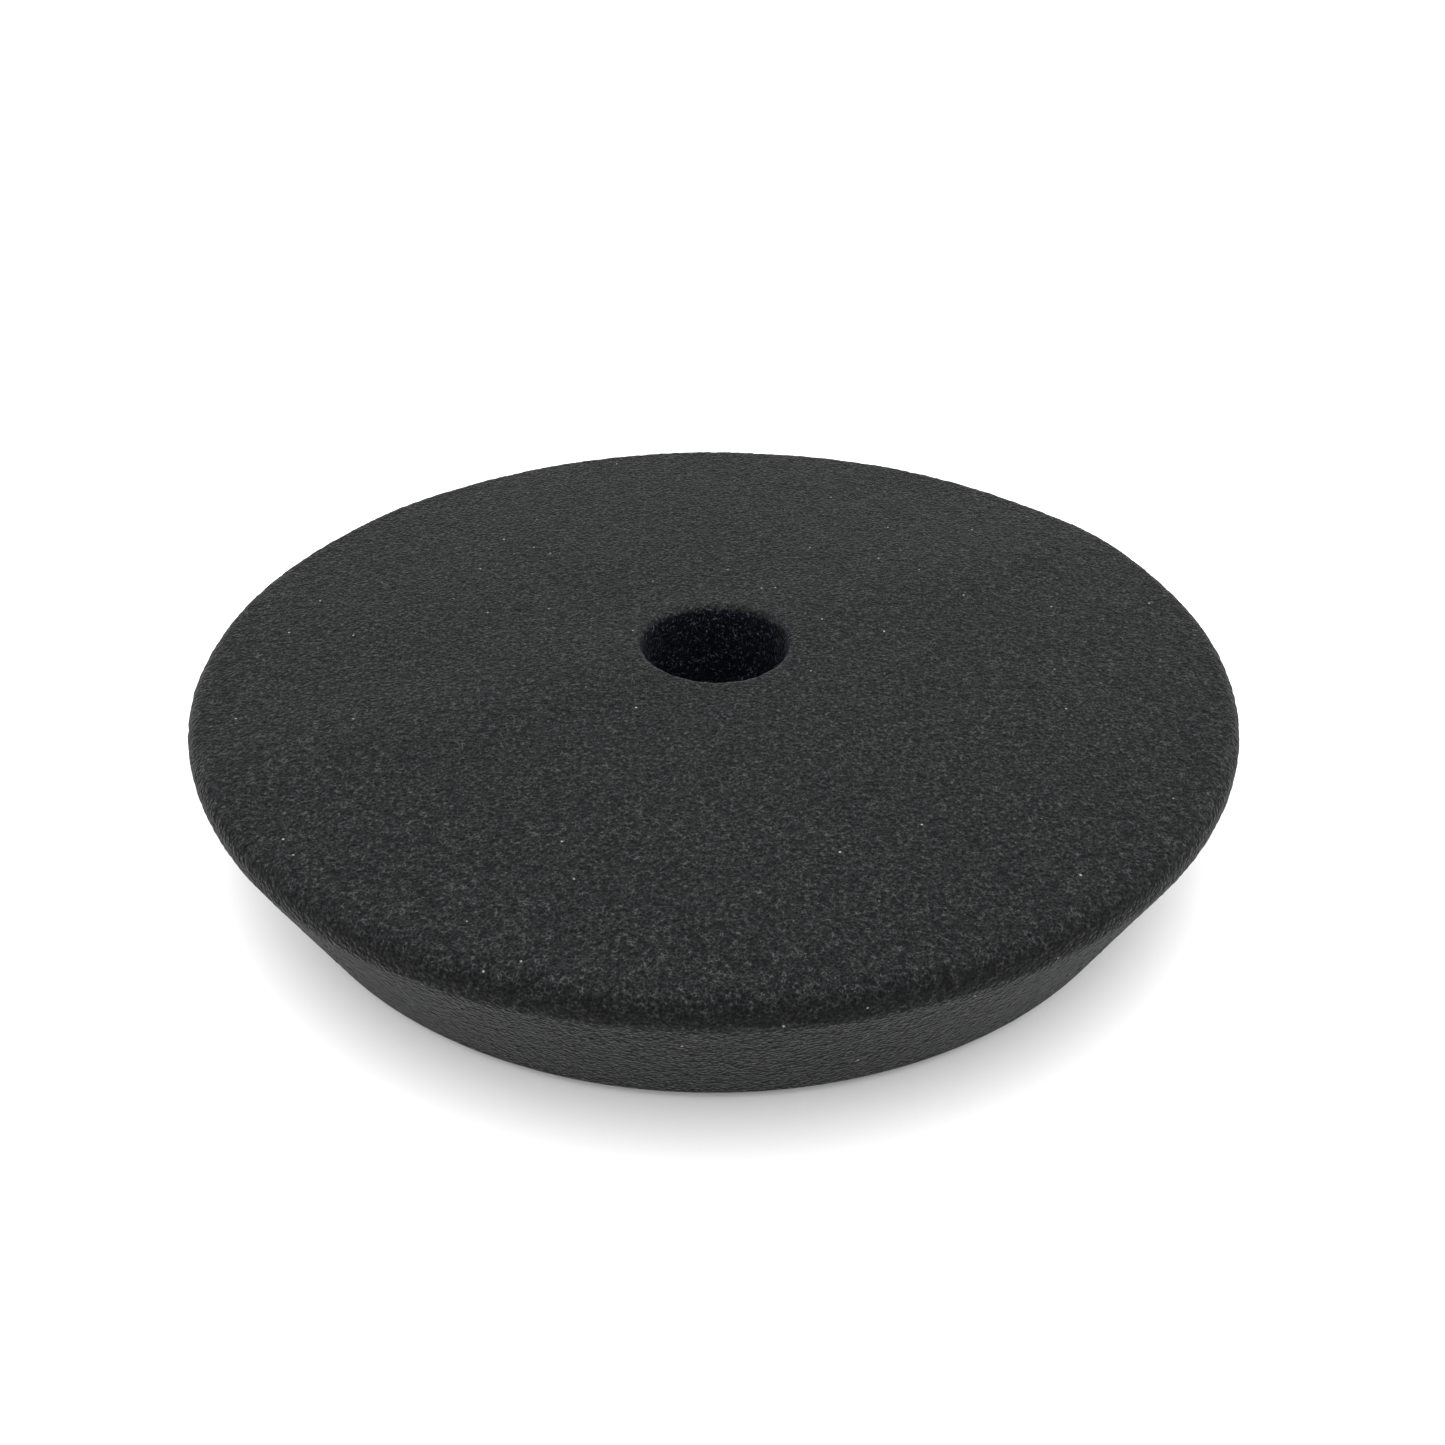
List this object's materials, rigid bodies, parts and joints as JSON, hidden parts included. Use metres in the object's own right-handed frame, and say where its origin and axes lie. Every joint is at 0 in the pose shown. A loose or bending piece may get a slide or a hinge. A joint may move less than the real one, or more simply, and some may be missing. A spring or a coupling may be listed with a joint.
{
  "type": "polishing pad",
  "caption": "Round black foam polishing pad with a rounded rim, a tapered side, a centring bore and a loop-fabric backing for a hook-faced backing plate.",
  "frame": {"origin": "centre of the loop face that the pad lies on, on the bore's axis", "axes": "+Z along the bore, from the loop face to the working face; X and Y lie in the loop face"},
  "size_m": [0.15, 0.15, 0.0255],
  "materials": {
    "foam": "matt black open-cell polyurethane foam, ground to shape",
    "hot_melt": "dark hot-melt adhesive film, pressed",
    "loop_knit": "black warp-knitted nylon ground",
    "loop_yarn": "black nylon loops, slightly shiny filaments"
  },
  "bodies": {
    "root": {"foam_disc": "foam", "adhesive_film": "hot_melt", "loop_ground": "loop_knit", "loop_pile": "loop_yarn"}
  },
  "joints": []
}
